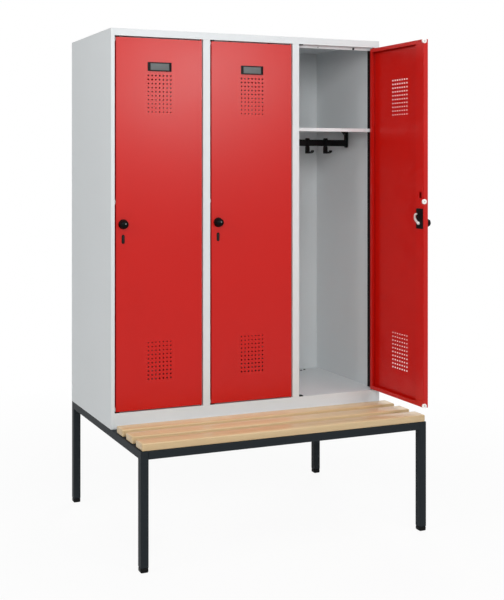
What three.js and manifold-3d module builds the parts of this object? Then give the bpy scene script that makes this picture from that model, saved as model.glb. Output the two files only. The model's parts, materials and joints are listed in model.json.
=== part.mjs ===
// A three-door steel clothes locker standing on a tube frame whose front carries a slatted bench.
// Millimetres, +Z up. While it is built, X runs across the width from the middle, Y = 0 is the
// front face of the steel body with +Y towards the back, and Z = 0 is the floor.

import * as THREE from 'three';
import { mergeVertices } from 'three/addons/utils/BufferGeometryUtils.js';
import Module from 'manifold-3d';

const wasm = await Module();
wasm.setup();

// Driving dimensions of the whole
const bodyWidth = 1200;
const bodyDepth = 500;
const totalHeight = 1955;
const benchReach = 315;
const frameHeight = 427;
const compartments = 3;

// Clearances and sheet metal
const seam = 0.3;
const sheet = 1;
const overrun = 5;

// Front frame of the body: folded stiles, dividers, top and plinth
const stileWidth = 15;
const dividerWidth = 30;
const topFlange = 27.5;
const topReturn = 28;
const stopLip = 11;
const plinthHeight = 60;
const plinthReturn = 20;
const rearFlange = 15;
const hingeReturn = 24;
const lockReturn = 17;
const channelDepth = 73;
const channelLip = 7;

// Doors: folded pans that hang on a pin at the top and bottom of their right edge
const doorThickness = 20;
const doorSideGap = 6;
const doorTopGap = 6;
const doorBottomGap = 5;
const doorLip = 15;
const pivotInset = 3;
const pivotDepth = 4.5;
const pinRadius = 2.5;
const pinReach = 3;
const pinClearance = 0.5;
const spareSlotInward = 6;
const spareSlotOutward = 12;
const spareSlotFront = 1.5;
const spareSlotDepth = 19;
const openDoorAngle = 90;

// Perforation: square holes that shrink row by row towards the middle of the door
const holeColumns = 7;
const holeRows = 10;
const holePitch = 15.6;
const holeLarge = 6;
const holeSmall = 4.4;
const holesBelowTop = 143;
const holesAboveBottom = 116;

// Label holder on the front of each door
const labelWidth = 100;
const labelHeight = 34.5;
const labelThickness = 3.2;
const labelRim = 3.5;
const labelCardDepth = 1.4;
const labelEndSlope = 7;
const labelBelowTop = 91.5;

// Lock side of each door
const lockInset = 28.5;
const lockHeightShare = 0.5;
const stiffenerWidth = 50;
const caseWidth = 43;
const caseInset = 3.5;
const caseAbove = 57;
const caseBelow = 22;
const caseProud = 0.4;
const tailWidth = 20;
const tailDepth = 8;
const plugDrop = 57.5;
const plugWidth = 12;
const plugHeight = 34;
const plugProud = 1.2;
const peepRise = 109;
const peepInset = 20;
const peepWidth = 13;
const peepHeight = 23;

// Knob, spindle and hooked cam
const knobRadius = 19;
const knobHeight = 15;
const knobFlange = 3;
const knobShoulder = 1.5;
const spindleRadius = 5;
const camThickness = 2.5;
const camSide = 30;
const camReach = 41;
const camBossRadius = 7.5;

// Buffers that wrap the inner corner of each door's free edge
const bufferRadius = 10;
const bufferProud = 1.5;
const bufferOverhang = 6.3;
const bufferWrap = 3;
const bufferFromEnd = 6;
const bufferRise = 84.5;

// Hat shelf, coat rail and sliding hooks
const shelfBelowTop = 368;
const shelfFlange = 14;
const shelfFrontGap = 25;
const railBelowShelf = 42.5;
const railHeight = 28;
const railThickness = 12;
const railCorner = 4;
const railDepth = 225;
const postWidth = 12.5;
const postThickness = 13;
const postInset = 16.5;
const postDrop = 6;
const postFlare = 20;
const postFlareRise = 22;
const postChamfer = 4.5;
const hooksPerRail = 3;
const hookPitch = 90;
const hookShift = -12.5;
const collarWidth = 12;
const collarWall = 3.5;
const collarTopWall = 6.5;
const hookThickness = 11;
const hookBar = 8;
const hookRadius = 21;
const hookSag = 6;
const hookStem = 19;
const hookStemWidth = 20;

// Bench frame, feet and slats
const tube = 30;
const tubeWall = 2;
const tubeRound = 3;
const footHeight = 18;
const footRound = 5;
const footPlug = 16;
const footCore = 1;
const slatPlaces = ['front', 'middle', 'rear'];
const slatWidth = 66;
const slatRearGap = 49;
const slatThickness = 27;
const slatRound = 5;
const slatEndInset = 5;

// Facets
const roundSides = 24;
const pinSides = 12;
const cornerSteps = 2;
const hookSteps = 5;

// Places that follow from the sizes above
const halfWidth = bodyWidth / 2;
const halfDivider = dividerWidth / 2;
const benchFront = -benchReach;
const slatPitch = (benchReach - slatRearGap - slatWidth) / (slatPlaces.length - 1);
const bodyBottom = frameHeight + seam;
const floorTop = bodyBottom + plinthHeight;
const openingTop = totalHeight - topFlange;
const doorBottom = floorTop + doorBottomGap;
const doorTop = openingTop - doorTopGap;
const doorHeight = doorTop - doorBottom;
const lockHeight = doorBottom + doorHeight * lockHeightShare;
const shelfTop = totalHeight - shelfBelowTop;
const railTop = shelfTop - railBelowShelf;
const dividerPitch = bodyWidth / compartments;
const quarterTurn = Math.PI / 2;

// Finishes
function finish(colour, roughness, metalness) {
  return new THREE.MeshStandardMaterial({ color: colour, roughness, metalness });
}
const greyPaint = finish(0xc9cbcc, 0.45, 0.1);
const redPaint = finish(0xc0241c, 0.35, 0.1);
const framePaint = finish(0x2c3033, 0.5, 0.1);
const beech = finish(0xd7ac84, 0.45, 0);
const blackPlastic = finish(0x17191b, 0.5, 0);
const whiteRubber = finish(0xe8e6e2, 0.7, 0);
const zincPlate = finish(0xb9b7b4, 0.35, 0.9);

// Solids: geometries are joined and cut as closed meshes
function toSolid(geometry) {
  const bare = geometry.clone();
  bare.deleteAttribute('normal');
  bare.deleteAttribute('uv');
  const merged = mergeVertices(bare);
  const corners = merged.index.array;
  const kept = [];
  for (let i = 0; i < corners.length; i += 3) {
    const [a, b, c] = [corners[i], corners[i + 1], corners[i + 2]];
    if (a !== b && b !== c && c !== a) kept.push(a, b, c);
  }
  return new wasm.Manifold(new wasm.Mesh({
    numProp: 3,
    vertProperties: new Float32Array(merged.getAttribute('position').array),
    triVerts: new Uint32Array(kept),
  }));
}

function toGeometry(solid) {
  const mesh = solid.getMesh();
  const geometry = new THREE.BufferGeometry();
  geometry.setAttribute('position', new THREE.BufferAttribute(mesh.vertProperties, 3));
  geometry.setIndex(new THREE.BufferAttribute(mesh.triVerts, 1));
  const flat = geometry.toNonIndexed();
  flat.computeVertexNormals();
  return flat;
}

function join(...geometries) {
  return toGeometry(geometries.map(toSolid).reduce((whole, piece) => whole.add(piece)));
}

function cut(geometry, ...tools) {
  const whole = toSolid(geometry);
  return toGeometry(tools.map(toSolid).reduce((left, tool) => left.subtract(tool), whole));
}

// Boxes given by their lowest and highest corner
function block(x0, x1, y0, y1, z0, z1) {
  const geometry = new THREE.BoxGeometry(x1 - x0, y1 - y0, z1 - z0);
  return geometry.translate((x0 + x1) / 2, (y0 + y1) / 2, (z0 + z1) / 2);
}

// Prisms of a flat outline: standing up, running across the width, or running front to back
function prism(shape, depth, curveSegments) {
  return new THREE.ExtrudeGeometry(shape, { depth, bevelEnabled: false, curveSegments });
}

function standing(shape, z0, z1) {
  return prism(shape, z1 - z0, cornerSteps).translate(0, 0, z0);
}

function across(shape, x0, x1, curveSegments = cornerSteps) {
  const turn = new THREE.Matrix4().makeBasis(
    new THREE.Vector3(0, 1, 0), new THREE.Vector3(0, 0, 1), new THREE.Vector3(1, 0, 0));
  return prism(shape, x1 - x0, curveSegments).applyMatrix4(turn).translate(x0, 0, 0);
}

function backwards(shape, y0, y1) {
  return prism(shape, y1 - y0, cornerSteps).rotateX(quarterTurn).translate(0, y1, 0);
}

// Round bar along Y or Z
function barAlongY(radius, sides, y0, y1, x, z) {
  return new THREE.CylinderGeometry(radius, radius, y1 - y0, sides).translate(x, (y0 + y1) / 2, z);
}

function barAlongZ(radius, sides, x, y, z0, z1) {
  return new THREE.CylinderGeometry(radius, radius, z1 - z0, sides).rotateX(quarterTurn)
    .translate(x, y, (z0 + z1) / 2);
}

function outline(points) {
  return new THREE.Shape(points.map(([u, v]) => new THREE.Vector2(u, v)));
}

// A sheet folded along a line of points. Its thickness lies on the left of the line, or on the
// right where side is -1, and the folds are mitred.
function foldedSheet(points, side = 1) {
  const inner = points.map((point, i) => {
    const normals = [];
    for (const [from, to] of [[i - 1, i], [i, i + 1]]) {
      if (from < 0 || to >= points.length) continue;
      const [du, dv] = [points[to][0] - points[from][0], points[to][1] - points[from][1]];
      const length = Math.hypot(du, dv);
      normals.push([-dv / length, du / length]);
    }
    const [first, last] = [normals[0], normals[normals.length - 1]];
    const mitre = normals.length > 1 ? 1 + first[0] * last[0] + first[1] * last[1] : 1;
    const sum = normals.reduce((total, n) => [total[0] + n[0], total[1] + n[1]], [0, 0]);
    return [point[0] + side * sheet * sum[0] / mitre, point[1] + side * sheet * sum[1] / mitre];
  });
  return outline([...points, ...inner.reverse()]);
}

function roundedRectangle(u0, u1, v0, v1, radius) {
  const shape = new THREE.Shape();
  shape.absarc(u1 - radius, v0 + radius, radius, -quarterTurn, 0);
  shape.absarc(u1 - radius, v1 - radius, radius, 0, quarterTurn);
  shape.absarc(u0 + radius, v1 - radius, radius, quarterTurn, 2 * quarterTurn);
  shape.absarc(u0 + radius, v0 + radius, radius, 2 * quarterTurn, 3 * quarterTurn);
  return shape;
}

function part(name, geometry, material) {
  const mesh = new THREE.Mesh(geometry, material);
  mesh.name = name;
  return mesh;
}

// The clear opening of compartment i and the sheet faces on both of its sides
function compartment(i) {
  const leftLine = -halfWidth + i * dividerPitch;
  const rightLine = leftLine + dividerPitch;
  const first = i === 0;
  const last = i === compartments - 1;
  return {
    left: leftLine + (first ? stileWidth : halfDivider),
    right: rightLine - (last ? stileWidth : halfDivider),
    wallLeft: leftLine + (first ? sheet : sheet / 2),
    wallRight: rightLine - (last ? sheet : sheet / 2),
  };
}

// Steel body

// On the right of every compartment the stile folds back beside the door's hinge edge, and a
// second fold behind it leaves an upright channel open towards the compartment.
function hingeChannel(wallX, faceX) {
  return standing(foldedSheet([
    [wallX, channelDepth],
    [faceX, channelDepth],
    [faceX, channelDepth - channelLip],
  ]), floorTop + seam, openingTop - seam);
}

function rightSidePanel() {
  const shell = standing(foldedSheet([
    [halfWidth - rearFlange, bodyDepth],
    [halfWidth, bodyDepth],
    [halfWidth, 0],
    [halfWidth - stileWidth, 0],
    [halfWidth - stileWidth, hingeReturn],
  ], -1), bodyBottom, totalHeight - sheet - seam);
  return join(shell, hingeChannel(halfWidth - sheet / 2, halfWidth - stileWidth));
}

function leftSidePanel() {
  return standing(foldedSheet([
    [-halfWidth + rearFlange, bodyDepth],
    [-halfWidth, bodyDepth],
    [-halfWidth, 0],
    [-halfWidth + stileWidth, 0],
    [-halfWidth + stileWidth, lockReturn],
    [-halfWidth + 2 * sheet, lockReturn],
  ]), bodyBottom, totalHeight - sheet - seam);
}

function divider(centre) {
  const rear = bodyDepth - 2 * sheet - 3 * seam;
  const post = standing(foldedSheet([
    [centre - halfDivider, hingeReturn],
    [centre - halfDivider, 0],
    [centre + halfDivider, 0],
    [centre + halfDivider, lockReturn],
    [centre + sheet / 2, lockReturn],
    [centre + sheet / 2, rear - sheet],
  ]), floorTop + seam, totalHeight - sheet - seam);
  const underTop = block(
    centre - dividerWidth, centre + dividerWidth, -overrun, topReturn + sheet + seam,
    openingTop - seam, totalHeight);
  return cut(join(post, hingeChannel(centre, centre - halfDivider)), underTop);
}

// Holes in the top and the floor for the hinge pins, and the spare slots on the lock side
function pivotHoles(z0, z1) {
  const holes = [];
  for (let i = 0; i < compartments; i += 1) {
    const { left, right } = compartment(i);
    const pinX = right - doorSideGap - pivotInset;
    const slotX = left + doorSideGap + pivotInset;
    holes.push(barAlongZ(pinRadius + pinClearance, pinSides, pinX, pivotDepth, z0, z1));
    holes.push(block(
      slotX - spareSlotInward, slotX + spareSlotOutward,
      spareSlotFront, spareSlotFront + spareSlotDepth, z0, z1));
  }
  return holes;
}

function topPanel() {
  const folded = across(foldedSheet([
    [topReturn, openingTop - stopLip],
    [topReturn, openingTop],
    [0, openingTop],
    [0, totalHeight],
    [bodyDepth, totalHeight],
    [bodyDepth, totalHeight - rearFlange],
  ], -1), -halfWidth, halfWidth);
  const besideStiles = [-1, 1].map((side) => {
    const inner = side * (halfWidth - stileWidth - seam);
    const outer = side * (halfWidth + overrun);
    return block(
      Math.min(inner, outer), Math.max(inner, outer), -overrun, bodyDepth + overrun,
      openingTop - 2 * stopLip, totalHeight - sheet);
  });
  const overDividers = [];
  for (let i = 1; i < compartments; i += 1) {
    const centre = -halfWidth + i * dividerPitch;
    overDividers.push(block(
      centre - halfDivider - seam, centre + halfDivider + seam, overrun, channelDepth,
      openingTop - 2 * stopLip, openingTop));
  }
  const pivots = pivotHoles(openingTop - overrun, openingTop + overrun);
  return cut(folded, ...besideStiles, ...overDividers, ...pivots);
}

// The floor's front corners are notched for the stiles: a short notch for the left one, and one as
// deep as the hinge channel for the right one. The plinth's lower return ends beside both.
function floorPanel() {
  const side = halfWidth - sheet - seam;
  const folded = across(foldedSheet([
    [plinthReturn, bodyBottom],
    [0, bodyBottom],
    [0, floorTop],
    [bodyDepth, floorTop],
    [bodyDepth, floorTop - rearFlange],
  ], -1), -side, side);
  const corners = [];
  for (const [direction, stileDepth] of [[-1, lockReturn], [1, channelDepth]]) {
    const front = direction * (halfWidth - stileWidth - seam);
    const rear = direction * (halfWidth - rearFlange - seam);
    const outer = direction * (halfWidth + overrun);
    corners.push(block(
      Math.min(front, outer), Math.max(front, outer), -overrun, stileDepth + seam,
      bodyBottom - overrun, floorTop + overrun));
    corners.push(block(
      Math.min(front, outer), Math.max(front, outer), -overrun, plinthReturn + overrun,
      bodyBottom - overrun, bodyBottom + overrun));
    corners.push(block(
      Math.min(rear, outer), Math.max(rear, outer), bodyDepth - sheet - seam, bodyDepth + overrun,
      bodyBottom - overrun, floorTop + overrun));
  }
  return cut(folded, ...corners, ...pivotHoles(floorTop - overrun, floorTop + overrun));
}

function backPanel() {
  const side = halfWidth - sheet - seam;
  const rear = bodyDepth - sheet - seam;
  return block(-side, side, rear - sheet, rear, floorTop + seam, totalHeight - sheet - seam);
}

function hatShelf(i) {
  const { left, right, wallLeft, wallRight } = compartment(i);
  const rear = bodyDepth - 2 * sheet - 3 * seam;
  const tray = across(foldedSheet([
    [shelfFrontGap, shelfTop - shelfFlange],
    [shelfFrontGap, shelfTop],
    [rear - sheet, shelfTop],
    [rear - sheet, shelfTop - shelfFlange],
  ], -1), wallLeft + seam, wallRight - seam);
  const besideFrame = [[wallLeft - overrun, left + seam], [right - seam, wallRight + overrun]];
  const corners = besideFrame.map(([x0, x1]) => block(
    x0, x1, 0, channelDepth + seam, shelfTop - 2 * shelfFlange, shelfTop + overrun));
  return cut(tray, ...corners);
}

// Coat rail: an oval bar between two posts that hang from the shelf. Each post flares towards the
// middle where it meets the shelf.
function coatRail(i) {
  const { wallLeft, wallRight } = compartment(i);
  const under = shelfTop - sheet - seam;
  const foot = railTop - railHeight - postDrop;
  const ends = [[wallLeft + postInset, 1], [wallRight - postInset, -1]];
  const bar = across(roundedRectangle(
    railDepth - railThickness / 2, railDepth + railThickness / 2,
    railTop - railHeight, railTop, railCorner), ends[0][0], ends[1][0]);
  const posts = ends.map(([x, inward]) => {
    const outer = x - inward * postWidth / 2;
    const inner = x + inward * postWidth / 2;
    return backwards(outline([
      [outer, under],
      [outer, foot + postChamfer],
      [outer + inward * postChamfer, foot],
      [inner - inward * postChamfer, foot],
      [inner, foot + postChamfer],
      [inner, under - postFlareRise],
      [inner + inward * postFlare, under],
    ]), railDepth - postThickness / 2, railDepth + postThickness / 2);
  });
  return join(bar, ...posts);
}

// Sliding hook: a collar round the bar, a broad stem under it and a long prong that runs forwards
// from the stem and turns up to a round tip
function slidingHook(level) {
  const room = seam + collarWall;
  const half = hookBar / 2;
  const collar = roundedRectangle(
    -railThickness / 2 - room, railThickness / 2 + room,
    railTop - railHeight - room, railTop + seam + collarTopWall, railCorner + room);
  collar.holes.push(roundedRectangle(
    -railThickness / 2 - seam, railThickness / 2 + seam,
    railTop - railHeight - seam, railTop + seam, railCorner + seam));
  const stem = roundedRectangle(
    -hookStemWidth / 2, hookStemWidth / 2, level - hookSag - half, level + hookStem + sheet, half);
  const prong = new THREE.Shape();
  prong.absellipse(
    -hookRadius, level, hookRadius + half, hookSag + half, 2 * quarterTurn, 4 * quarterTurn);
  prong.absellipse(
    -hookRadius, level, hookRadius - half, hookSag - half, 4 * quarterTurn, 2 * quarterTurn, true);
  const tip = new THREE.Shape();
  tip.absarc(-2 * hookRadius, level, half, 0, 4 * quarterTurn);
  const flats = [stem, prong, tip].map((shape) => across(
    shape, -hookThickness / 2, hookThickness / 2, hookSteps));
  return join(across(collar, -collarWidth / 2, collarWidth / 2), ...flats);
}

// Doors. Each is drawn closed, with its hinge axis as the local origin: the leaf lies on the
// left of the axis, its front face at y = -pivotDepth.

function doorLeaf(width) {
  const free = pivotInset - width;
  return {
    hinge: pivotInset,
    free,
    front: -pivotDepth,
    back: doorThickness - pivotDepth,
    lockX: free + lockInset,
  };
}

function squareHole(leaf, x, z, size) {
  const half = size / 2;
  return block(x - half, x + half, leaf.front - overrun, leaf.front + 2 * sheet, z - half, z + half);
}

function perforation(leaf) {
  const centre = (leaf.hinge + leaf.free) / 2;
  const solids = [];
  for (let row = 0; row < holeRows; row += 1) {
    const size = THREE.MathUtils.lerp(holeLarge, holeSmall, row / (holeRows - 1));
    const lower = row * holePitch;
    const levels = [doorTop - holesBelowTop - lower, doorBottom + holesAboveBottom + lower];
    for (const z of levels) {
      for (let column = 0; column < holeColumns; column += 1) {
        const x = centre + (column - (holeColumns - 1) / 2) * holePitch;
        solids.push(toSolid(squareHole(leaf, x, z, size)));
      }
    }
  }
  return solids.reduce((all, hole) => all.add(hole));
}

function doorPanel(leaf) {
  const { free, hinge, front, back, lockX } = leaf;
  const outer = block(free, hinge, front, back, doorBottom, doorTop);
  const hollow = block(
    free + sheet, hinge - sheet, front + sheet, back - sheet, doorBottom + sheet, doorTop - sheet);
  const window = block(
    free + sheet, hinge - doorLip, back - 2 * sheet, back + overrun,
    doorBottom + doorLip, doorTop - doorLip);
  const spindleHole = barAlongY(
    spindleRadius + pinClearance, roundSides, front - overrun, front + 2 * sheet, lockX, lockHeight);
  const plugHole = backwards(roundedRectangle(
    lockX - plugWidth / 2 - seam, lockX + plugWidth / 2 + seam,
    lockHeight - plugDrop - plugHeight / 2 - seam, lockHeight - plugDrop + plugHeight / 2 + seam,
    plugWidth / 2), front - overrun, front + 2 * sheet);
  const pan = toSolid(cut(outer, hollow, window, spindleHole, plugHole)).subtract(perforation(leaf));
  const [pinTop, pinFoot] = [openingTop + sheet + pinReach, floorTop - sheet - pinReach];
  const topPin = barAlongZ(pinRadius, pinSides, 0, 0, doorTop - sheet / 2, pinTop);
  const bottomPin = barAlongZ(pinRadius, pinSides, 0, 0, pinFoot, doorBottom + sheet / 2);
  return toGeometry(pan.add(toSolid(topPin)).add(toSolid(bottomPin)));
}

// Channel that stiffens the lock side, with a window for the lock case and a slot above it
function lockStiffener(leaf) {
  const { free, front, back } = leaf;
  const outerX = free + sheet + seam;
  const innerX = free + stiffenerWidth;
  const channel = standing(foldedSheet([
    [outerX, front + sheet + seam],
    [outerX, back],
    [innerX, back],
    [innerX, front + sheet + seam],
  ], -1), doorBottom + doorLip + seam, doorTop - doorLip - seam);
  const caseWindow = block(
    free + caseInset - seam, free + caseInset + caseWidth + seam, back - 2 * sheet, back + overrun,
    lockHeight - caseBelow - seam, lockHeight + caseAbove + seam);
  const peep = block(
    free + peepInset - peepWidth / 2, free + peepInset + peepWidth / 2, back - 2 * sheet, back + overrun,
    lockHeight + peepRise - peepHeight / 2, lockHeight + peepRise + peepHeight / 2);
  return cut(channel, caseWindow, peep);
}

function lockCase(leaf) {
  const { free, front, back, lockX } = leaf;
  const skin = front + sheet + seam;
  const housing = block(
    free + caseInset, free + caseInset + caseWidth, skin, back + caseProud,
    lockHeight - caseBelow, lockHeight + caseAbove);
  const tailBottom = lockHeight - plugDrop - plugHeight / 2 - sheet;
  const tail = block(
    lockX - tailWidth / 2, lockX + tailWidth / 2, skin, skin + tailDepth, tailBottom, lockHeight);
  const plug = backwards(roundedRectangle(
    lockX - plugWidth / 2, lockX + plugWidth / 2,
    lockHeight - plugDrop - plugHeight / 2, lockHeight - plugDrop + plugHeight / 2,
    plugWidth / 2 - seam), front - plugProud, skin + sheet);
  const bore = barAlongY(
    spindleRadius + seam, roundSides, skin - overrun, back + overrun, lockX, lockHeight);
  return cut(join(housing, tail, plug), bore);
}

function labelHolder(leaf) {
  const centre = (leaf.hinge + leaf.free) / 2;
  const top = doorTop - labelBelowTop;
  const half = labelWidth / 2;
  const base = leaf.front - seam;
  const plan = outline([
    [centre - half, base],
    [centre - half + labelEndSlope, base - labelThickness],
    [centre + half - labelEndSlope, base - labelThickness],
    [centre + half, base],
  ]);
  const frame = standing(plan, top - labelHeight, top);
  const bed = block(
    centre - half + labelEndSlope + labelRim, centre + half - labelEndSlope - labelRim,
    base - labelThickness - overrun, base - labelCardDepth,
    top - labelHeight + labelRim, top - labelRim);
  return cut(frame, bed);
}

// Round knob on a thin flange. Its dome as shares of the radius and of the height over the flange.
const domeShares = [[1, 0.08], [0.93, 0.38], [0.78, 0.66], [0.54, 0.88], [0.28, 0.98], [0, 1]];

function knob(leaf) {
  const start = leaf.front - seam;
  const domeRadius = knobRadius - knobShoulder;
  const domeHeight = knobHeight - knobFlange;
  const dome = domeShares.map(([across, up]) => [
    across * domeRadius, knobFlange + up * domeHeight]);
  const profile = [[0, 0], [knobRadius, 0], [knobRadius, knobFlange], ...dome]
    .map(([radius, height]) => new THREE.Vector2(radius, height));
  const grip = new THREE.LatheGeometry(profile, roundSides).rotateX(2 * quarterTurn)
    .translate(leaf.lockX, start, lockHeight);
  const spindle = barAlongY(
    spindleRadius, roundSides, start - sheet, leaf.back + caseProud + seam, leaf.lockX, lockHeight);
  return join(grip, spindle);
}

// Hooked cam. Unlocked it stands up beside the spindle with its tip towards the free edge, and a
// quarter turn swings the tip behind the stile. Across as shares of its side reach towards the
// hinge, up as shares of its full reach.
const camOutlineShares = [
  [0.22, -0.14], [0.62, 0.08], [1, 0.26], [1, 0.86], [0.88, 0.97], [0.62, 1],
  [0.1, 1], [0.04, 0.93], [0.16, 0.82], [0.56, 0.78], [0.64, 0.68], [0.5, 0.5], [-0.08, 0.17],
];

function cam(leaf) {
  const near = leaf.back + caseProud + 2 * seam;
  const hook = backwards(outline(camOutlineShares.map(
    ([side, up]) => [leaf.lockX + side * camSide, lockHeight + up * camReach])), near, near + camThickness);
  const boss = barAlongY(
    camBossRadius, roundSides / 2, near, near + camThickness + sheet, leaf.lockX, lockHeight);
  return join(hook, boss);
}

// Buffer: a round stud clipped over the inner corner of the free edge
function buffer(leaf, z) {
  const { free, back } = leaf;
  const y = back + bufferOverhang - bufferRadius;
  const stud = new THREE.CylinderGeometry(bufferRadius, bufferRadius, bufferProud + bufferWrap, roundSides)
    .rotateZ(quarterTurn).translate(free + (bufferWrap - bufferProud) / 2, y, z);
  const reach = 2 * bufferRadius;
  const edge = block(
    free - seam, free + bufferWrap + overrun, back - doorThickness, back + seam,
    z - reach, z + reach);
  const beyond = [[doorBottom - reach, doorBottom], [doorTop, doorTop + reach]].map(([z0, z1]) => block(
    free - reach, free + reach, y - reach, y + reach, z0, z1));
  return cut(stud, edge, ...beyond);
}

function door(i, angle) {
  const { left, right } = compartment(i);
  const number = i + 1;
  const leaf = doorLeaf(right - left - 2 * doorSideGap);
  const group = new THREE.Group();
  group.add(part(`door_${number}_panel`, doorPanel(leaf), redPaint));
  group.add(part(`door_${number}_lock_stiffener`, lockStiffener(leaf), redPaint));
  group.add(part(`door_${number}_label_holder`, labelHolder(leaf), blackPlastic));
  group.add(part(`door_${number}_lock_case`, lockCase(leaf), blackPlastic));
  group.add(part(`door_${number}_knob`, knob(leaf), blackPlastic));
  group.add(part(`door_${number}_cam`, cam(leaf), zincPlate));
  const bufferLevels = {
    top: doorTop - bufferFromEnd,
    middle: lockHeight + bufferRise,
    bottom: doorBottom + bufferFromEnd,
  };
  for (const [place, z] of Object.entries(bufferLevels)) {
    group.add(part(`door_${number}_buffer_${place}`, buffer(leaf, z), whiteRubber));
  }
  group.position.set(right - doorSideGap - pivotInset, pivotDepth, 0);
  group.rotation.z = THREE.MathUtils.degToRad(angle);
  return group;
}

// Bench frame: two welded end frames, a front and a rear rail between them, and four feet

// The outline of the square tube whose lowest corner is at u and v, smaller by inset all round
function tubeOutline(u, v, inset) {
  return roundedRectangle(
    u + inset, u + tube - inset, v + inset, v + tube - inset, tubeRound - inset);
}

// The three tubes of an end frame, each smaller by inset on every side
function endFrameTubes(x, inset, bottom) {
  const railBottom = frameHeight - tube;
  const legs = [benchFront, bodyDepth - tube].map((y) => standing(
    tubeOutline(x, y, inset), bottom, frameHeight - inset));
  const rail = backwards(
    tubeOutline(x, railBottom, inset), benchFront + tube / 2, bodyDepth - tube / 2);
  return join(...legs, rail);
}

function endFrame(x) {
  return cut(endFrameTubes(x, 0, footHeight + seam), endFrameTubes(x, tubeWall, 0));
}

function rail(y) {
  const shape = tubeOutline(y, frameHeight - tube, 0);
  shape.holes.push(tubeOutline(y, frameHeight - tube, tubeWall));
  const end = halfWidth - tube - seam;
  return across(shape, -end, end);
}

function foot(x, y) {
  const cap = new THREE.ExtrudeGeometry(
    roundedRectangle(
      x + footRound, x + tube - footRound, y + footRound, y + tube - footRound, footCore),
    {
      depth: footHeight - 2 * footRound,
      bevelThickness: footRound,
      bevelSize: footRound,
      bevelSegments: cornerSteps,
      curveSegments: 1,
    }).translate(0, 0, footRound);
  const inset = tubeWall + seam;
  const plug = block(
    x + inset, x + tube - inset, y + inset, y + tube - inset, footRound, footHeight + footPlug);
  return join(cap, plug);
}

function slat(i) {
  const front = benchFront + i * slatPitch;
  const end = halfWidth - slatEndInset;
  const under = frameHeight + seam;
  const shape = roundedRectangle(front, front + slatWidth, under, under + slatThickness, slatRound);
  return across(shape, -end, end);
}

// Assembly
const locker = new THREE.Group();

locker.add(part('side_panel_left', leftSidePanel(), greyPaint));
locker.add(part('side_panel_right', rightSidePanel(), greyPaint));
locker.add(part('top_panel', topPanel(), greyPaint));
locker.add(part('floor_panel', floorPanel(), greyPaint));
locker.add(part('back_panel', backPanel(), greyPaint));
for (let i = 1; i < compartments; i += 1) {
  locker.add(part(`divider_${i}`, divider(-halfWidth + i * dividerPitch), greyPaint));
}

for (let i = 0; i < compartments; i += 1) {
  const number = i + 1;
  const { wallLeft, wallRight } = compartment(i);
  locker.add(part(`hat_shelf_${number}`, hatShelf(i), greyPaint));
  locker.add(part(`coat_rail_${number}`, coatRail(i), blackPlastic));
  for (let h = 0; h < hooksPerRail; h += 1) {
    const hookX = (wallLeft + wallRight) / 2 + hookShift + (h - (hooksPerRail - 1) / 2) * hookPitch;
    const hookLevel = railTop - railHeight - seam - collarWall - hookStem;
    const hook = part(`coat_hook_${number}_${h + 1}`, slidingHook(hookLevel), blackPlastic);
    hook.position.set(hookX, railDepth, 0);
    locker.add(hook);
  }
  locker.add(door(i, i === compartments - 1 ? openDoorAngle : 0));
}

locker.add(part('end_frame_left', endFrame(-halfWidth), framePaint));
locker.add(part('end_frame_right', endFrame(halfWidth - tube), framePaint));
locker.add(part('front_rail', rail(benchFront), framePaint));
locker.add(part('rear_rail', rail(bodyDepth - tube), framePaint));
for (const [side, x] of [['left', -halfWidth], ['right', halfWidth - tube]]) {
  locker.add(part(`foot_front_${side}`, foot(x, benchFront), blackPlastic));
  locker.add(part(`foot_rear_${side}`, foot(x, bodyDepth - tube), blackPlastic));
}
for (const [i, place] of slatPlaces.entries()) {
  locker.add(part(`bench_slat_${place}`, slat(i), beech));
}

// The origin is on the floor, in the middle of the space that the locker takes up as it stands,
// with the third door open.
const extent = new THREE.Box3().setFromObject(locker);
locker.position.y = -(extent.min.y + extent.max.y) / 2;

export default locker;
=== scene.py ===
import json
import math

import bmesh
import bpy
from mathutils import Matrix, Vector


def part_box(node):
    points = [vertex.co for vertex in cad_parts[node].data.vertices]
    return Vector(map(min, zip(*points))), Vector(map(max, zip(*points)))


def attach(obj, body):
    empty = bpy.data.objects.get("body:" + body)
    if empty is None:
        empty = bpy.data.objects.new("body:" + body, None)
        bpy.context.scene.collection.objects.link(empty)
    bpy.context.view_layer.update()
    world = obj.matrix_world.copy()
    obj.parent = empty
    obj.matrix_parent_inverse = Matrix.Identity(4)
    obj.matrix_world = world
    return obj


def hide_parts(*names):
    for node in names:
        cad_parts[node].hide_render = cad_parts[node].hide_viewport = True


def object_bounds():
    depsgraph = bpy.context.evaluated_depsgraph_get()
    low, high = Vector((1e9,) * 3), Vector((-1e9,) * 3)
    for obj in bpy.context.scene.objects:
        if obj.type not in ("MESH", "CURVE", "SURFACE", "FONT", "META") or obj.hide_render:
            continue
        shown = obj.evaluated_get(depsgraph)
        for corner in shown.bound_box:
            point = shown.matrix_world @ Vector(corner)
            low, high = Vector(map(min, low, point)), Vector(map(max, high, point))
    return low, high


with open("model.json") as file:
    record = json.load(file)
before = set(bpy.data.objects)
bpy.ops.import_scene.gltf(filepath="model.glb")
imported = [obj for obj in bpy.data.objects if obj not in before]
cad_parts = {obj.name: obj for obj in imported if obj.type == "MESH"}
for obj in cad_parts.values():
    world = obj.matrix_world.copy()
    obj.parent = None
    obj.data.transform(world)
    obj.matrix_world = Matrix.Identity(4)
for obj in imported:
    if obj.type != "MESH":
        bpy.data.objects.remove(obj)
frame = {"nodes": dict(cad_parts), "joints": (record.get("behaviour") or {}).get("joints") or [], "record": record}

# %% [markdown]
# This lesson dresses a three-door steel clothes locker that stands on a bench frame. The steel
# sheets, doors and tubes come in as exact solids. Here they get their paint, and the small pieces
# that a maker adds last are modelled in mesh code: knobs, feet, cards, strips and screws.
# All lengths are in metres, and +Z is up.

model_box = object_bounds()
nodes = frame["nodes"]
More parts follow.
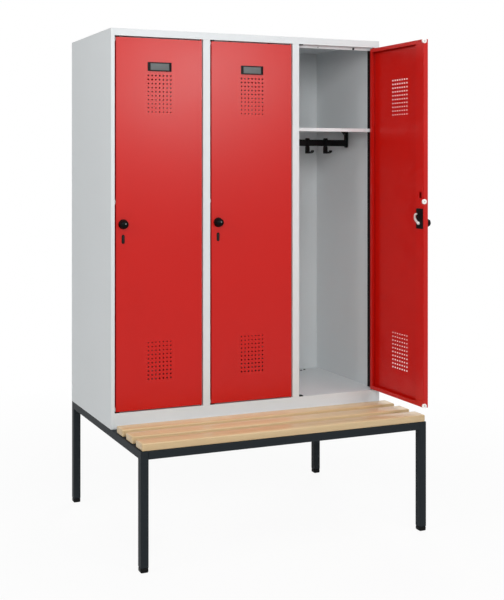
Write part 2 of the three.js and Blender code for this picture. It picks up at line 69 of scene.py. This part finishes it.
print("model box", [round(v, 3) for corner in model_box for v in corner])

# %% [markdown]
# A photographer sets the camera before anything else, and so do we, because every later choice is
# judged through it. The camera stands left of the locker, a little below eye height, and looks
# level, so upright edges stay upright. Lens shift, as on a view camera, then brings the locker into
# the middle of the frame.

# %% The camera
def level_camera(place, yaw, lens, shift):
    """A level camera turned to the right by yaw degrees."""
    data = bpy.data.cameras.new("camera")
    data.lens = lens
    data.sensor_width = 36
    data.shift_x, data.shift_y = shift
    camera = bpy.data.objects.new("camera", data)
    camera.location = place
    camera.rotation_euler = (math.radians(90), 0, math.radians(-yaw))
    bpy.context.scene.collection.objects.link(camera)
    bpy.context.scene.camera = camera
    return camera


camera = level_camera((-1.8611, -3.6384, 1.4293), 20.3, 59.712, (0.2115, -0.2233))
print("camera at", tuple(round(v, 3) for v in camera.location))

# %% [markdown]
# Finishes are written as sums. A socket is wrapped in a small class, so that an expression such as
# 0.4 + 0.1 * grain adds the Math nodes by itself. Numbers alone stay in Python, and colours go
# through Mix, because a Math node would turn a colour grey.

# %% A socket that can be used in sums
class Signal:
    def __init__(self, finish, socket):
        self.finish, self.socket = finish, socket

    def sum(self, operation, first, second=None):
        sockets = {"Value": first}
        if second is not None:
            sockets["Value_001"] = second
        return self.finish.node("ShaderNodeMath", {"operation": operation}, sockets)

    def __add__(self, other):
        return self.sum("ADD", self, other)

    def __radd__(self, other):
        return self.sum("ADD", other, self)

    def __sub__(self, other):
        return self.sum("SUBTRACT", self, other)

    def __rsub__(self, other):
        return self.sum("SUBTRACT", other, self)

    def __mul__(self, other):
        return self.sum("MULTIPLY", self, other)

    def __rmul__(self, other):
        return self.sum("MULTIPLY", other, self)


# %% [markdown]
# A finish is one material. Its node method makes any node: settings first, then the values or
# links of its sockets. What is the same all over, such as a coat's roughness, is set on the
# shader's own socket, and what changes over the surface is joined to colour, roughness or bump.

# %% A finish and its nodes
class Finish:
    def __init__(self, name, **constants):
        self.material = bpy.data.materials.new(name)
        self.material.use_nodes = True
        self.tree = self.material.node_tree
        self.shader = self.tree.nodes["Principled BSDF"]
        for socket, value in constants.items():
            self.shader.inputs[socket.replace("_", " ")].default_value = value

    def node(self, kind, settings=None, sockets=None, out=None):
        made = self.tree.nodes.new(kind)
        for key, value in (settings or {}).items():
            if key == "stops":
                self.stops(made.color_ramp, value)
            else:
                setattr(made, key, value)
        for key, value in (sockets or {}).items():
            self.join(self.find(made.inputs, key), value)
        return Signal(self, self.find(made.outputs, out))

    def find(self, sockets, key):
        for socket in sockets:
            if socket.enabled and key in (None, socket.name, socket.identifier):
                return socket
        raise KeyError(key)

    def stops(self, ramp, stops):
        for place, (at, grey) in enumerate(stops):
            stop = ramp.elements[place] if place < 2 else ramp.elements.new(at)
            stop.position = at
            stop.color = (grey, grey, grey, 1)

    def join(self, socket, value):
        if isinstance(value, Signal):
            self.tree.links.new(value.socket, socket)
        elif isinstance(value, tuple) and len(value) == 3 and socket.type == "RGBA":
            socket.default_value = (*value, 1)
        else:
            socket.default_value = value

    def surface(self, **sockets):
        for key, value in sockets.items():
            self.join(self.shader.inputs[key.replace("_", " ")], value)

    def place(self):
        return self.node("ShaderNodeTexCoord", out="Object")

    def stretch(self, scale):
        return self.node("ShaderNodeMapping", sockets={"Vector": self.place(), "Scale": scale})

    def noise(self, scale, detail, vector=None, rough=0.5):
        vector = vector or self.place()
        sockets = {"Vector": vector, "Scale": scale, "Detail": detail, "Roughness": rough}
        return self.node("ShaderNodeTexNoise", sockets=sockets, out="Fac")

    def ramp(self, value, *stops):
        return self.node("ShaderNodeValToRGB", {"stops": stops}, {"Fac": value}, out="Color")

    def mix(self, share, first, second):
        sockets = {"Factor_Float": share, "A_Color": first, "B_Color": second}
        return self.node("ShaderNodeMix", {"data_type": "RGBA"}, sockets, out="Result_Color")

    def facing_up(self):
        """1 on level faces, 0 on upright ones."""
        normal = self.node("ShaderNodeNewGeometry", out="Normal")
        level = self.node("ShaderNodeSeparateXYZ", sockets={"Vector": normal}, out="Z")
        return level.sum("ABSOLUTE", level)

    def bump(self, height, depth):
        sockets = {"Height": height, "Distance": depth}
        return self.node("ShaderNodeBump", sockets=sockets, out="Normal")


# %% [markdown]
# Powder coat is a plastic skin baked on steel. Seen close, it has a fine orange peel about half a
# millimetre across, and over a whole sheet its gloss drifts a little. Both are noise, at two very
# different scales: the fine one tilts the light, the broad one shifts gloss and depth of colour.
# The stiffeners inside the doors get a slightly brighter copy of the same red as painted light: it
# stands in for the shade that falls on the recessed skin beside them.

# %% Powder coats
def powder_coat(name, colour, gloss, shine, peel):
    paint = Finish(name, Specular_IOR_Level=shine)
    drift = paint.noise(2.3, 3.0)
    grain = paint.noise(1500.0, 1.0)
    deeper = tuple(0.93 * part for part in colour)
    paint.surface(
        Base_Color=paint.mix(drift, deeper, colour),
        Roughness=gloss + 0.10 * (drift - 0.5) + 0.05 * (grain - 0.5),
        Normal=paint.bump(grain, peel),
    )
    return paint.material


grey_paint = powder_coat("light grey powder coat", (0.712, 0.745, 0.757), 0.42, 0.30, 0.00004)
red_paint = powder_coat("red powder coat", (0.548, 0.0060, 0.0028), 0.29, 0.31, 0.00003)
# A brighter copy of the red for the stiffeners, painted light against the shaded skin beside them.
stiffener_lit_paint = powder_coat(
    "red powder coat of the stiffener", (0.565, 0.0063, 0.0030), 0.29, 0.31, 0.00003)
frame_paint = powder_coat("anthracite powder coat", (0.0180, 0.0225, 0.0262), 0.50, 0.08, 0.00006)
print("powder coats made")

# %% [markdown]
# Steamed beech is pale and pinkish. Its grain runs along the slat in broad soft bands, with fine
# fibres, and it has short dark flecks that tell it from other woods. Each layer is a pattern
# stretched along the slat by its own amount. Upright faces get a painted shade, a darker tone that
# stands in for light falling from above. Varnish goes over it as a thin glossy coat.

# %% Varnished beech
def beech_wood():
    wood = Finish("varnished beech", Coat_Roughness=0.18, Specular_IOR_Level=0.35)
    bands = wood.noise(1.0, 4.0, wood.stretch((1.3, 34.0, 34.0)), 0.55)
    fibres = wood.noise(1.0, 3.0, wood.stretch((9.0, 700.0, 700.0)))
    flecks = wood.node(
        "ShaderNodeTexVoronoi", {"feature": "F1"},
        {"Vector": wood.stretch((130.0, 520.0, 520.0)), "Scale": 1.0}, out="Distance")
    marks = wood.ramp(flecks, (0.06, 1.0), (0.24, 0.0))
    dark = wood.ramp(bands, (0.34, 1.0), (0.62, 0.0))
    tone = wood.mix(dark, (0.785, 0.620, 0.352), (0.655, 0.488, 0.250))
    tone = wood.mix(0.22 * fibres, tone, (0.870, 0.755, 0.480))
    tone = wood.mix(0.30 * marks, tone, (0.360, 0.185, 0.085))
    # Painted shade: upright faces are mixed towards a darker tone, as light from above would leave them.
    upright = wood.ramp(wood.facing_up(), (0.55, 1.0), (0.95, 0.0))
    tone = wood.mix(0.45 * upright, tone, (0.430, 0.262, 0.138))
    wood.surface(
        Base_Color=tone,
        Roughness=0.40 + 0.10 * dark,
        Coat_Weight=0.35 + 0.10 * fibres,
        Normal=wood.bump(fibres + 0.5 * marks, 0.00012),
    )
    return wood.material


beech = beech_wood()
print("beech made")

# %% [markdown]
# The moulded pieces are nylon with a fine spark-eroded skin, which scatters the light without
# making the piece grey. The buffers are soft white plastic. A few small pieces have their own colour
# of the same recipe, and a light grey of it paints the highlight on each knob. The cam and its nut
# are zinc plated steel, with a faint cloudy bloom.

# %% Moulded plastic, buffer white, zinc plate
def moulded(name, colour, gloss, shine, skin):
    plastic = Finish(name, Specular_IOR_Level=shine)
    cloud = plastic.noise(60.0, 2.0)
    grain = plastic.noise(2400.0, 2.0)
    lighter = tuple(1.25 * part for part in colour)
    plastic.surface(
        Base_Color=plastic.mix(cloud, colour, lighter),
        Roughness=gloss + 0.10 * (grain - 0.5),
        Normal=plastic.bump(grain, skin),
    )
    return plastic.material


def zinc_plate():
    zinc = Finish("zinc plated steel", Metallic=0.5)
    bloom = zinc.noise(220.0, 3.0)
    brushed = zinc.noise(1.0, 2.0, zinc.stretch((300.0, 300.0, 3000.0)))
    zinc.surface(
        Base_Color=zinc.mix(bloom, (0.82, 0.81, 0.79), (0.93, 0.92, 0.90)),
        Roughness=0.34 + 0.16 * bloom,
        Normal=zinc.bump(brushed, 0.00003),
    )
    return zinc.material


black_plastic = moulded("black moulded plastic", (0.0034, 0.0038, 0.0042), 0.40, 0.09, 0.00004)
knob_plastic = moulded("polished black plastic", (0.0022, 0.0025, 0.0027), 0.30, 0.055, 0.00001)
# A light grey that paints the highlight on the tip of each knob.
highlight_grey = moulded("grey spindle end", (0.165, 0.175, 0.172), 0.50, 0.15, 0.00001)
dimple_grey = moulded("worn buffer head", (0.50, 0.48, 0.46), 0.55, 0.20, 0.00001)
card_grey = moulded("grey label card", (0.118, 0.130, 0.130), 0.55, 0.20, 0.00001)
white_rubber = moulded("white buffer plastic", (0.80, 0.785, 0.765), 0.50, 0.30, 0.00002)
plug_brown = moulded("dark slot insert", (0.021, 0.017, 0.015), 0.50, 0.08, 0.00003)
zinc = zinc_plate()
print("plastics and zinc made")

# %% [markdown]
# The exact solids keep their shape. Each gets the finish that its record entry names, so the
# finish follows the part list and no piece is forgotten.

# %% Finishes of the exact solids
finish_of_slot = {
    "grey_paint": grey_paint,
    "red_paint": red_paint,
    "frame_paint": frame_paint,
    "beech": beech,
    "black_plastic": black_plastic,
    "white_rubber": white_rubber,
    "zinc": zinc,
}
for entry in frame["record"]["subparts"]:
    solid = nodes[entry["node"]]
    solid.data.materials.clear()
    solid.data.materials.append(finish_of_slot[entry["material_slot"]])
doors = (1, 2, 3)
# The stiffeners take the brighter copy of the red, which is painted light.
for number in doors:
    nodes[f"door_{number}_lock_stiffener"].data.materials[0] = stiffener_lit_paint

# %% [markdown]
# New pieces are drawn with bmesh and then turned into objects. Curved faces are shaded smooth and
# edges sharper than 35 degrees stay crisp. Every piece rides on the body that carries it, so that
# it follows the doors and knobs.

# %% Helpers for new pieces
MM = 0.001


def piece(name, mesh, finish, body, place=None):
    data = bpy.data.meshes.new(name)
    if place is not None:
        mesh.transform(place)
    bmesh.ops.recalc_face_normals(mesh, faces=mesh.faces)
    mesh.to_mesh(data)
    mesh.free()
    data.materials.append(finish)
    for face in data.polygons:
        face.use_smooth = True
    data.set_sharp_from_angle(angle=math.radians(35))
    made = bpy.data.objects.new(name, data)
    bpy.context.scene.collection.objects.link(made)
    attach(made, body)
    return made


def rounded_box(low, high, radius, steps):
    """A box between two corners with all its edges rounded."""
    mesh = bmesh.new()
    bmesh.ops.create_cube(mesh, size=1)
    low, high = Vector(low), Vector(high)
    for vertex in mesh.verts:
        vertex.co = (low + high) / 2 + Vector(vertex.co[i] * (high - low)[i] for i in range(3))
    bmesh.ops.bevel(
        mesh, geom=mesh.edges[:], offset=radius, segments=steps, profile=0.5, affect="EDGES")
    return mesh


def turned(profile, steps):
    """A body of revolution about the axis y, from pairs of radius and height towards -y."""
    mesh = bmesh.new()
    line = [mesh.verts.new((radius, -height, 0)) for radius, height in profile]
    edges = [mesh.edges.new(pair) for pair in zip(line, line[1:])]
    bmesh.ops.spin(
        mesh, geom=line + edges, cent=(0, 0, 0), axis=(0, 1, 0), angle=2 * math.pi, steps=steps)
    bmesh.ops.remove_doubles(mesh, verts=mesh.verts[:], dist=1e-6)
    return mesh


def in_mm(*profile):
    """A lathe profile given in millimetres."""
    return [(radius * MM, height * MM) for radius, height in profile]


def rod(radius, start, end):
    """The profile of a plain round rod, in millimetres."""
    return in_mm((0.0, start), (radius, start), (radius, end), (0.0, end))


def merged(*meshes):
    """Several meshes as one."""
    whole = bmesh.new()
    for mesh in meshes:
        data = bpy.data.meshes.new("loose")
        mesh.to_mesh(data)
        mesh.free()
        whole.from_mesh(data)
        bpy.data.meshes.remove(data)
    return whole


# %% [markdown]
# The doors are copies of one another, so their pieces are drawn once in a door's own frame: shut,
# with the hinge pin as the origin. The joint list says where each pin is, and how far each door
# stands open, and that gives the frame's place in the room.

# %% Where each door hangs
lock_x, skin_y, rear_y = -326.5 * MM, -4.5 * MM, 15.5 * MM
joint_of = {joint["name"]: joint for joint in frame["joints"]}


def door_place(number):
    joint = joint_of[f"door_{number}_hinge"]
    x, y = joint["pos_m"][:2]
    opened = math.radians(-joint["range_deg"][0])
    return Matrix.Translation((x, y, 0)) @ Matrix.Rotation(opened, 4, "Z")


lock_z = joint_of["door_1_knob_turn"]["pos_m"][2]
print("lock height", round(lock_z, 4))

# %% [markdown]
# The knob is the piece that a hand meets first. It has a thin flange and a round dome, with a grip
# bar across the dome. A lathe profile makes the round part and a rounded box the bar. A small light
# grey disc on the front is a painted highlight, where the dome's tip catches the light. The knob
# stands for the plain exact knob.

# %% Knobs
def knob_mesh():
    dome = [(0.0, 29.6), (4.5, 29.3), (8.2, 28.4), (11.0, 26.8), (13.4, 24.2), (15.2, 20.4),
            (16.4, 15.6), (17.0, 10.0), (17.2, 4.4), (17.6, 3.5), (18.5, 3.0), (19.0, 2.4),
            (19.0, 0.35), (18.7, 0.0), (0.0, 0.0)]
    body = turned(in_mm(*dome), 64)
    bar = rounded_box(
        (-3.4 * MM, -30.8 * MM, -12.0 * MM), (3.4 * MM, -16.0 * MM, 12.0 * MM), 2.6 * MM, 4)
    spindle = turned(rod(5.0, 0.0, -20.6), 24)
    return merged(body, bar, spindle)


for number in doors:
    seat = door_place(number) @ Matrix.Translation((lock_x, skin_y - 0.3 * MM, lock_z))
    body = f"door_{number}_turn"
    grip = piece(f"knob_{number}", knob_mesh(), knob_plastic, body, seat)
    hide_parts(f"door_{number}_knob")
    # A light grey disc on the grip's front is a painted highlight.
    highlight_disc = turned(in_mm((0.0, 31.2), (2.2, 31.2), (2.8, 30.9), (2.8, 28.0), (0.0, 28.0)), 24)
    front = seat @ Matrix.Translation((0, 0, 2.6 * MM))
    piece(f"knob_highlight_{number}", highlight_disc, highlight_grey, body, front)
print("knobs made")

# %% [markdown]
# The cam is a hook punched from zinc plated sheet. Shut, its tip stands behind the stile, and a
# quarter turn frees it. The outline is drawn point by point round the spindle, filled, given its
# thickness and softened along the edges.

# %% Cams
def cam_mesh(outline, low, high):
    mesh = bmesh.new()
    face = mesh.faces.new([mesh.verts.new((x * MM, low, z * MM)) for x, z in outline])
    grown = bmesh.ops.extrude_face_region(mesh, geom=[face])
    top = [part for part in grown["geom"] if isinstance(part, bmesh.types.BMVert)]
    bmesh.ops.translate(mesh, verts=top, vec=(0, high - low, 0))
    bmesh.ops.bevel(
        mesh, geom=mesh.edges[:], offset=0.5 * MM, segments=2, profile=0.5, affect="EDGES",
        clamp_overlap=True)
    return mesh


hook_outline = [
    (-6.5, -3.5), (-3.0, -7.0), (3.5, -6.0), (15.0, 2.5), (26.0, 11.0), (28.0, 17.5), (27.5, 29.0),
    (25.0, 35.0), (19.0, 38.0), (9.5, 38.0), (8.5, 35.0), (10.0, 32.0), (17.0, 31.0), (19.5, 26.5),
    (17.5, 18.5), (9.0, 9.5), (0.0, 5.5), (-5.0, 4.5)]
cam_low, cam_high = rear_y + 1.4 * MM, rear_y + 4.2 * MM
for number in doors:
    seat = door_place(number) @ Matrix.Translation((lock_x, 0, lock_z))
    hook = piece(
        f"cam_hook_{number}", cam_mesh(hook_outline, cam_low, cam_high), zinc,
        f"door_{number}_turn", seat)
    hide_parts(f"door_{number}_cam")
low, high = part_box("door_1_cam")
print("cam", [round(1000 * v, 1) for v in low], [round(1000 * v, 1) for v in high])

# %% [markdown]
# Inside, a hexagon nut with a washer holds the cam on its spindle. It is the bright spot in the
# middle of the black lock case when a door stands open.

# %% Cam nuts
def nut_mesh():
    washer = turned(rod(6.4, 0.0, 0.7), 40)
    nut = turned(in_mm((0.0, 0.7), (5.0, 0.7), (5.4, 1.1), (5.4, 3.0), (4.9, 3.4), (0.0, 3.4)), 6)
    tip = turned(in_mm((0.0, 3.4), (2.6, 3.4), (2.6, 4.4), (2.1, 4.9), (0.0, 4.9)), 24)
    mesh = merged(washer, nut, tip)
    mesh.transform(Matrix.Rotation(math.pi, 4, "Z"))
    return mesh


cam_face = rear_y + 4.5 * MM
for number in doors:
    seat = door_place(number) @ Matrix.Translation((lock_x, cam_face, lock_z))
    piece(f"cam_nut_{number}", nut_mesh(), zinc, f"door_{number}_turn", seat)
print("cam nuts made")

# %% [markdown]
# The label holder takes a card behind its rim, and the slotted plug below the knob has a dark
# insert. Both are thin plates that lie in a recess, so they are rounded boxes under a millimetre
# thick.

# %% Cards and plug inserts
label_low, label_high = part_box("door_1_label_holder")
label_z = (label_low.z + label_high.z) / 2
door_width, hinge_edge = 358, 3
label_x = -(door_width / 2 - hinge_edge) * MM
card_half_width, card_half_height = 39.0 * MM, 13.2 * MM
slot_z = lock_z - 57.5 * MM
slot_half_width, slot_half_height = 2.4 * MM, 12.5 * MM
for number in doors:
    place = door_place(number)
    body = f"door_{number}"
    front = skin_y - 1.7 * MM
    card = rounded_box(
        (label_x - card_half_width, front - 0.7 * MM, label_z - card_half_height),
        (label_x + card_half_width, front, label_z + card_half_height), 0.3 * MM, 2)
    piece(f"label_card_{number}", card, card_grey, body, place)
    front = skin_y - 1.2 * MM
    insert = rounded_box(
        (lock_x - slot_half_width, front - 0.6 * MM, slot_z - slot_half_height),
        (lock_x + slot_half_width, front + 0.2 * MM, slot_z + slot_half_height), 0.35 * MM, 3)
    piece(f"plug_insert_{number}", insert, plug_brown, body, place)
print("cards and inserts made")

# %% [markdown]
# Each buffer is a stud that clips round the door's free edge. Its head has a small grey dimple in
# the middle. A thin grey disc set into the head reads as that dimple.

# %% Buffer dimples
def dimple_mesh():
    return turned(in_mm((0.0, 0.12), (3.0, 0.12), (3.4, -0.05), (3.4, -0.5), (0.0, -0.5)), 24)


free_x, buffer_y = -356.5 * MM, 11.8 * MM
for number in doors:
    door = door_place(number)
    for level in ("top", "middle", "bottom"):
        low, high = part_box(f"door_{number}_buffer_{level}")
        head = Matrix.Translation((free_x, buffer_y, (low.z + high.z) / 2))
        facing = door @ head @ Matrix.Rotation(math.radians(-90), 4, "Z")
        piece(
            f"buffer_dimple_{number}_{level}", dimple_mesh(), dimple_grey,
            f"door_{number}", facing)
print("dimples made")

# %% [markdown]
# Behind each hinge-side stile runs an upright channel. A black strip is set in it as painted shade:
# it stands in for the deep shade of the channel, which shows as a dark line beside an open door. It
# is a long flat profile with rounded edges, drawn from the walls that it sits between.

# %% Black strips that paint the shade of the hinge channels
body_depth = 500 * MM
frame_y = model_box[1].y - body_depth
strip_z = (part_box("divider_1")[0].z + 1 * MM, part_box("side_panel_right")[1].z - 29 * MM)
stile_faces = (-215 * MM, 185 * MM, 585 * MM)
for number, face in zip(doors, stile_faces):
    # The black strip is painted shade: a dark line where the channel lies in deep shade.
    strip = rounded_box(
        (face + 1.3 * MM, frame_y + 25.0 * MM, strip_z[0]),
        (face + 3.3 * MM, frame_y + 71.0 * MM, strip_z[1]), 0.5 * MM, 3)
    piece(f"hinge_shade_strip_{number}", strip, black_plastic, "locker")
print("shade strips from", [round(v, 3) for v in strip_z])

# %% [markdown]
# A door can hang on either side, so the sheet has spare pin slots on the lock side. Black caps
# close them, above and below. Each stop lip carries a black plug and a small rivet, and two screws
# hold the floor to the frame.

# %% Caps, plugs, rivets and screws
def button(radius, height):
    """A low round head with a rolled edge, standing on the plane y = 0 and facing -y."""
    flat, rim, sunk = 0.72 * radius, 0.45 * height, -0.4
    return turned(
        in_mm((0.0, height), (flat, height), (radius, rim), (radius, sunk), (0.0, sunk)), 24)


left_edges = (-585 * MM, -185 * MM, 215 * MM)
lip_front, lip_z = frame_y + 27.0 * MM, 1921.5 * MM
under_top, over_floor = 1927.5 * MM, 487.3 * MM
facing_up = Matrix.Rotation(math.radians(-90), 4, "X")
print("opening from", round(over_floor, 4), "to", round(under_top, 4))
for number, edge in zip(doors, left_edges):
    for level, z, side in (("top", under_top, -1), ("bottom", over_floor, 1)):
        low, high = sorted((z - 1.4 * side * MM, z + 3.6 * side * MM))
        cap = rounded_box(
            (edge + 3.3 * MM, frame_y + 1.8 * MM, low),
            (edge + 20.7 * MM, frame_y + 20.2 * MM, high), 0.4 * MM, 2)
        piece(f"slot_cap_{number}_{level}", cap, knob_plastic, "locker")
    plug = Matrix.Translation((edge + 275 * MM, lip_front, lip_z))
    piece(f"lip_plug_{number}", button(5.0, 3.0), black_plastic, "locker", plug)
    rivet = Matrix.Translation((edge + 104.6 * MM, lip_front, lip_z))
    piece(f"lip_rivet_{number}", button(2.4, 0.9), card_grey, "locker", rivet)
    for place, x, y in (("a", 276, 456), ("b", 298, 464)):
        screw = Matrix.Translation((edge + x * MM, frame_y + y * MM, over_floor)) @ facing_up
        piece(
            f"floor_screw_{number}_{place}", button(5.0, 2.4), black_plastic,
            "locker", screw)
print("small fittings made")

# %% [markdown]
# The slats are planed beech with every edge rounded over, the ends too, so nobody's legs meet a
# sharp corner. Each is one rounded box that stands for the exact slat.

# %% Bench slats
for place in ("front", "middle", "rear"):
    low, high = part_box(f"bench_slat_{place}")
    board = rounded_box(low, high, 5.0 * MM, 5)
    made = piece(f"slat_{place}", board, beech, "locker")
    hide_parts(f"bench_slat_{place}")
print("slats", [round(v, 4) for v in high - low])

# %% [markdown]
# The feet are plugs with a soft rounded sole. The sole is a box with large rounded edges, and a
# plain stem goes up into the tube.

# %% Feet
for place in ("front_left", "front_right", "rear_left", "rear_right"):
    low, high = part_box(f"foot_{place}")
    sole = rounded_box(low, (high.x, high.y, low.z + 18 * MM), 5.0 * MM, 5)
    stem = rounded_box(
        (low.x + 2.4 * MM, low.y + 2.4 * MM, low.z + 10 * MM),
        (high.x - 2.4 * MM, high.y - 2.4 * MM, high.z), 0.8 * MM, 2)
    made = piece(f"plug_foot_{place}", merged(sole, stem), black_plastic, "locker")
    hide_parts(f"foot_{place}")
print("feet made")

# %% [markdown]
# Moulded hooks, rails, lock cases and label holders have no sharp edges. A bevel modifier rounds
# the edges of the exact solids by about a millimetre and leaves the solids as they are.

# %% Rounded edges of moulded pieces
def soften(name, width):
    bevel = nodes[name].modifiers.new("rounded edges", "BEVEL")
    bevel.width = width
    bevel.segments = 2
    bevel.limit_method = "ANGLE"
    bevel.angle_limit = math.radians(50)


for number in doors:
    soften(f"coat_rail_{number}", 1.0 * MM)
    soften(f"door_{number}_lock_case", 0.8 * MM)
    soften(f"door_{number}_label_holder", 0.5 * MM)
    for hook in (1, 2, 3):
        soften(f"coat_hook_{number}_{hook}", 1.2 * MM)
print("edges rounded")

# %% [markdown]
# The studio is white to the camera, yet no extra light from it may fall on the locker. A ray that
# the camera sends out, or that a glossy face throws on, can be told from a ray that gathers light.
# The floor and the sky both ask which kind has met them.

# %% Rays that are seen
def seen_rays(tree):
    """1 for camera, glossy and transmission rays, 0 for the rays that light other things."""
    path = tree.nodes.new("ShaderNodeLightPath")
    total = path.outputs["Is Camera Ray"]
    for name in ("Is Glossy Ray", "Is Transmission Ray"):
        add = tree.nodes.new("ShaderNodeMath")
        add.operation = "MAXIMUM"
        tree.links.new(total, add.inputs[0])
        tree.links.new(path.outputs[name], add.inputs[1])
        total = add.outputs[0]
    return total


print("ray test ready")

# %% [markdown]
# The floor keeps the soft shadow of the locker. Part of it is plain white paint that the lamps
# light, and the larger part glows, but only for the rays that are seen. The painted part fades out
# away from the locker, so the floor meets the white backdrop without a line.

# %% Floor
def studio_floor(paint_level, glow_near, near, far):
    """A floor whose glow grows from glow_near to all of it between two distances."""
    data = bpy.data.meshes.new("floor")
    mesh = bmesh.new()
    bmesh.ops.create_grid(mesh, x_segments=2, y_segments=2, size=30)
    mesh.to_mesh(data)
    mesh.free()
    floor = bpy.data.objects.new("floor", data)
    floor.location.z = -0.4 * MM
    bpy.context.scene.collection.objects.link(floor)
    material = bpy.data.materials.new("studio floor")
    material.use_nodes = True
    tree = material.node_tree
    tree.nodes.clear()
    paint = tree.nodes.new("ShaderNodeBsdfDiffuse")
    paint.inputs["Color"].default_value = (paint_level, paint_level, paint_level, 1)
    glow = tree.nodes.new("ShaderNodeEmission")
    glow.inputs["Color"].default_value = (1, 1, 1, 1)
    glow.inputs["Strength"].default_value = 1.0
    place = tree.nodes.new("ShaderNodeTexCoord")
    distance = tree.nodes.new("ShaderNodeVectorMath")
    distance.operation = "LENGTH"
    tree.links.new(place.outputs["Object"], distance.inputs[0])
    fade = tree.nodes.new("ShaderNodeMapRange")
    ends = {"From Min": near, "From Max": far, "To Min": glow_near, "To Max": 1.0}
    for socket, value in ends.items():
        fade.inputs[socket].default_value = value
    tree.links.new(distance.outputs["Value"], fade.inputs["Value"])
    share = tree.nodes.new("ShaderNodeMath")
    share.operation = "MULTIPLY"
    tree.links.new(seen_rays(tree), share.inputs[0])
    tree.links.new(fade.outputs["Result"], share.inputs[1])
    mix = tree.nodes.new("ShaderNodeMixShader")
    tree.links.new(share.outputs[0], mix.inputs[0])
    tree.links.new(paint.outputs[0], mix.inputs[1])
    tree.links.new(glow.outputs[0], mix.inputs[2])
    output = tree.nodes.new("ShaderNodeOutputMaterial")
    tree.links.new(mix.outputs[0], output.inputs["Surface"])
    data.materials.append(material)


studio_floor(paint_level=0.82, glow_near=0.93, near=0.9, far=2.6)
print("floor made")

# %% [markdown]
# The sky is white where it is seen, and gives the locker only a little light from all sides, enough
# to open up the darkest corners.

# %% Sky
def studio_sky(level):
    world = bpy.data.worlds.new("studio")
    bpy.context.scene.world = world
    world.use_nodes = True
    tree = world.node_tree
    background = tree.nodes["Background"]
    background.inputs["Color"].default_value = (1, 1, 1, 1)
    strength = tree.nodes.new("ShaderNodeMapRange")
    strength.inputs["To Min"].default_value = level
    strength.inputs["To Max"].default_value = 1.0
    tree.links.new(seen_rays(tree), strength.inputs["Value"])
    tree.links.new(strength.outputs["Result"], background.inputs["Strength"])


studio_sky(0.04)
print("sky made")

# %% [markdown]
# Five softboxes light the locker. The main one stands behind the camera and higher than the
# locker, and one at the side lights the left panel and the inside of the open door. One overhead
# lights the slats. A small one stands where the doors mirror it towards the camera, and lays a soft
# sheen over their upper half. The last stands behind, for anyone who walks round.

# %% Lamps
def softbox(name, place, target, size, power):
    data = bpy.data.lights.new(name, "AREA")
    data.shape = "RECTANGLE"
    data.size, data.size_y = size
    data.energy = power
    lamp = bpy.data.objects.new(name, data)
    lamp.location = place
    aim = Vector(target) - Vector(place)
    lamp.rotation_euler = aim.to_track_quat("-Z", "Y").to_euler()
    bpy.context.scene.collection.objects.link(lamp)


softbox("main softbox", (-2.2, -5.0, 2.8), (0, 0, 1.2), (2.4, 2.0), 130)
softbox("side softbox", (-4.6, -1.0, 3.2), (0, 0, 1.2), (2.6, 2.6), 88)
softbox("top softbox", (0.0, -1.6, 4.4), (0, 0, 1.0), (3.0, 2.4), 52)
softbox("sheen softbox", (1.73, -4.7, 2.28), (-0.3, 0, 1.8), (1.4, 0.5), 45)
softbox("back softbox", (2.6, 3.4, 4.2), (0, 0, 1.0), (2.0, 2.0), 100)
view = bpy.context.scene.view_settings
view.view_transform = "Standard"
print("lamps made")
